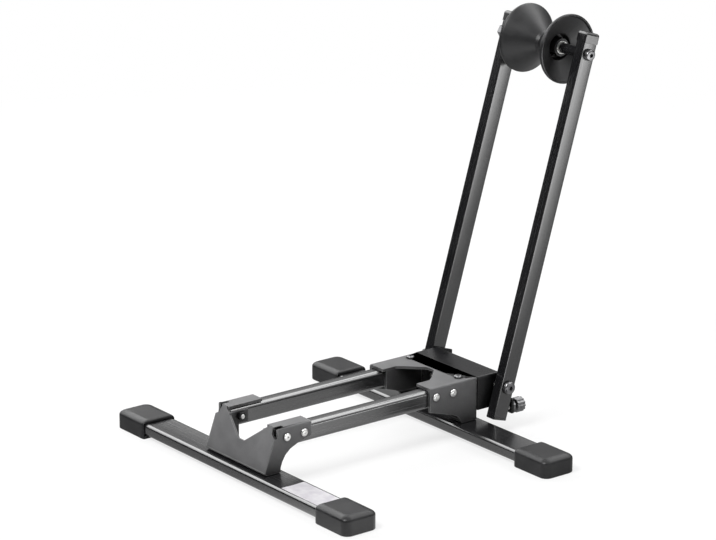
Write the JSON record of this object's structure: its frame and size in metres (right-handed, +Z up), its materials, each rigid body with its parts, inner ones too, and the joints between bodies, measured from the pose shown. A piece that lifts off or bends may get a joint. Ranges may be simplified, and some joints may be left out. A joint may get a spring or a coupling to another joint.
{
  "type": "bicycle storage stand",
  "caption": "Floor stand that holds a bicycle by one wheel: cross bars, rails with a tyre gap and notched brackets, and a sprung, leaning pair of uprights with a grooved roller.",
  "frame": {"origin": "on the floor, under the middle of the stand's bounding box", "axes": "+X to the right across the wheel, +Y back along the rails from the notched front bracket to the roller, +Z up"},
  "size_m": [0.4, 0.4602, 0.4321],
  "materials": {
    "anodised_aluminium": "black anodised extrusion with a soft gloss",
    "black_painted_steel": "black powder coat, semi-gloss",
    "black_plastic": "fine matte moulded texture",
    "black_roller_plastic": "matte moulded plastic, slightly rubbery",
    "zinc_plated_steel": "bright zinc plate",
    "white_nylon": "smooth moulded nylon"
  },
  "bodies": {
    "base": {"front_bar": "anodised_aluminium", "rear_bar": "anodised_aluminium", "end_cap_front_left": "black_plastic", "end_cap_front_right": "black_plastic", "end_cap_rear_left": "black_plastic", "end_cap_rear_right": "black_plastic", "rail_left": "anodised_aluminium", "rail_right": "anodised_aluminium", "front_bracket": "black_painted_steel", "rear_saddle": "black_painted_steel", "hinge_bracket": "black_painted_steel", "front_foot_screw_left": "zinc_plated_steel", "rear_foot_screw_left": "zinc_plated_steel", "saddle_screw_left": "zinc_plated_steel", "rivet_front_left": "zinc_plated_steel", "rivet_middle_left": "zinc_plated_steel", "rivet_rear_left": "zinc_plated_steel", "front_bolt_left": "zinc_plated_steel", "front_nut_left": "zinc_plated_steel", "hinge_bolt_left": "zinc_plated_steel", "hinge_nut_left": "zinc_plated_steel", "pivot_bush_left": "white_nylon", "front_foot_screw_right": "zinc_plated_steel", "rear_foot_screw_right": "zinc_plated_steel", "saddle_screw_right": "zinc_plated_steel", "rivet_front_right": "zinc_plated_steel", "rivet_middle_right": "zinc_plated_steel", "rivet_rear_right": "zinc_plated_steel", "front_bolt_right": "zinc_plated_steel", "front_nut_right": "zinc_plated_steel", "hinge_bolt_right": "zinc_plated_steel", "hinge_nut_right": "zinc_plated_steel", "pivot_bush_right": "white_nylon", "torsion_spring": "zinc_plated_steel", "stop_nut": "zinc_plated_steel"},
    "arm": {"upright_left": "anodised_aluminium", "upright_top_cap_left": "black_plastic", "upright_bottom_plug_left": "black_plastic", "axle_spacer_left": "black_plastic", "upright_right": "anodised_aluminium", "upright_top_cap_right": "black_plastic", "upright_bottom_plug_right": "black_plastic", "axle_spacer_right": "black_plastic", "pivot_bolt": "zinc_plated_steel", "pivot_nut": "zinc_plated_steel", "pivot_sleeve": "zinc_plated_steel", "axle_bolt": "zinc_plated_steel", "axle_nut": "zinc_plated_steel"},
    "roller": {"roller_cone_left": "black_roller_plastic", "roller_cone_right": "black_roller_plastic", "roller_hub": "zinc_plated_steel", "roller_bush_left": "white_nylon", "roller_bush_right": "white_nylon"},
    "stop_screw": {"stop_screw": "zinc_plated_steel"},
    "stop_knob": {"stop_knob": "zinc_plated_steel"}
  },
  "joints": [
    {"name": "arm_hinge", "type": "hinge", "parent": "base", "child": "arm", "pos_m": [0, 0.08918, 0.0495], "axis": [1, 0, 0], "range_deg": [-22, 0], "stiffness_Nm_per_rad": 6, "springref_deg": 20.05},
    {"name": "roller_spin", "type": "hinge", "parent": "arm", "child": "roller", "pos_m": [0, 0.19277, 0.3948], "axis": [1, 0, 0], "continuous": true},
    {"name": "stop_screw_slide", "type": "slide", "parent": "base", "child": "stop_screw", "axis": [0, 1, 0], "range_m": [0, 0.005]},
    {"name": "stop_knob_turn", "type": "hinge", "parent": "stop_screw", "child": "stop_knob", "pos_m": [0.0596, 0.10308, 0.0248], "axis": [0, 1, 0], "range_deg": [0, 1800]}
  ],
  "couplings": [
    {"joint": "stop_screw_slide", "follows": "stop_knob_turn", "m_per_rad": 0.00015915}
  ]
}
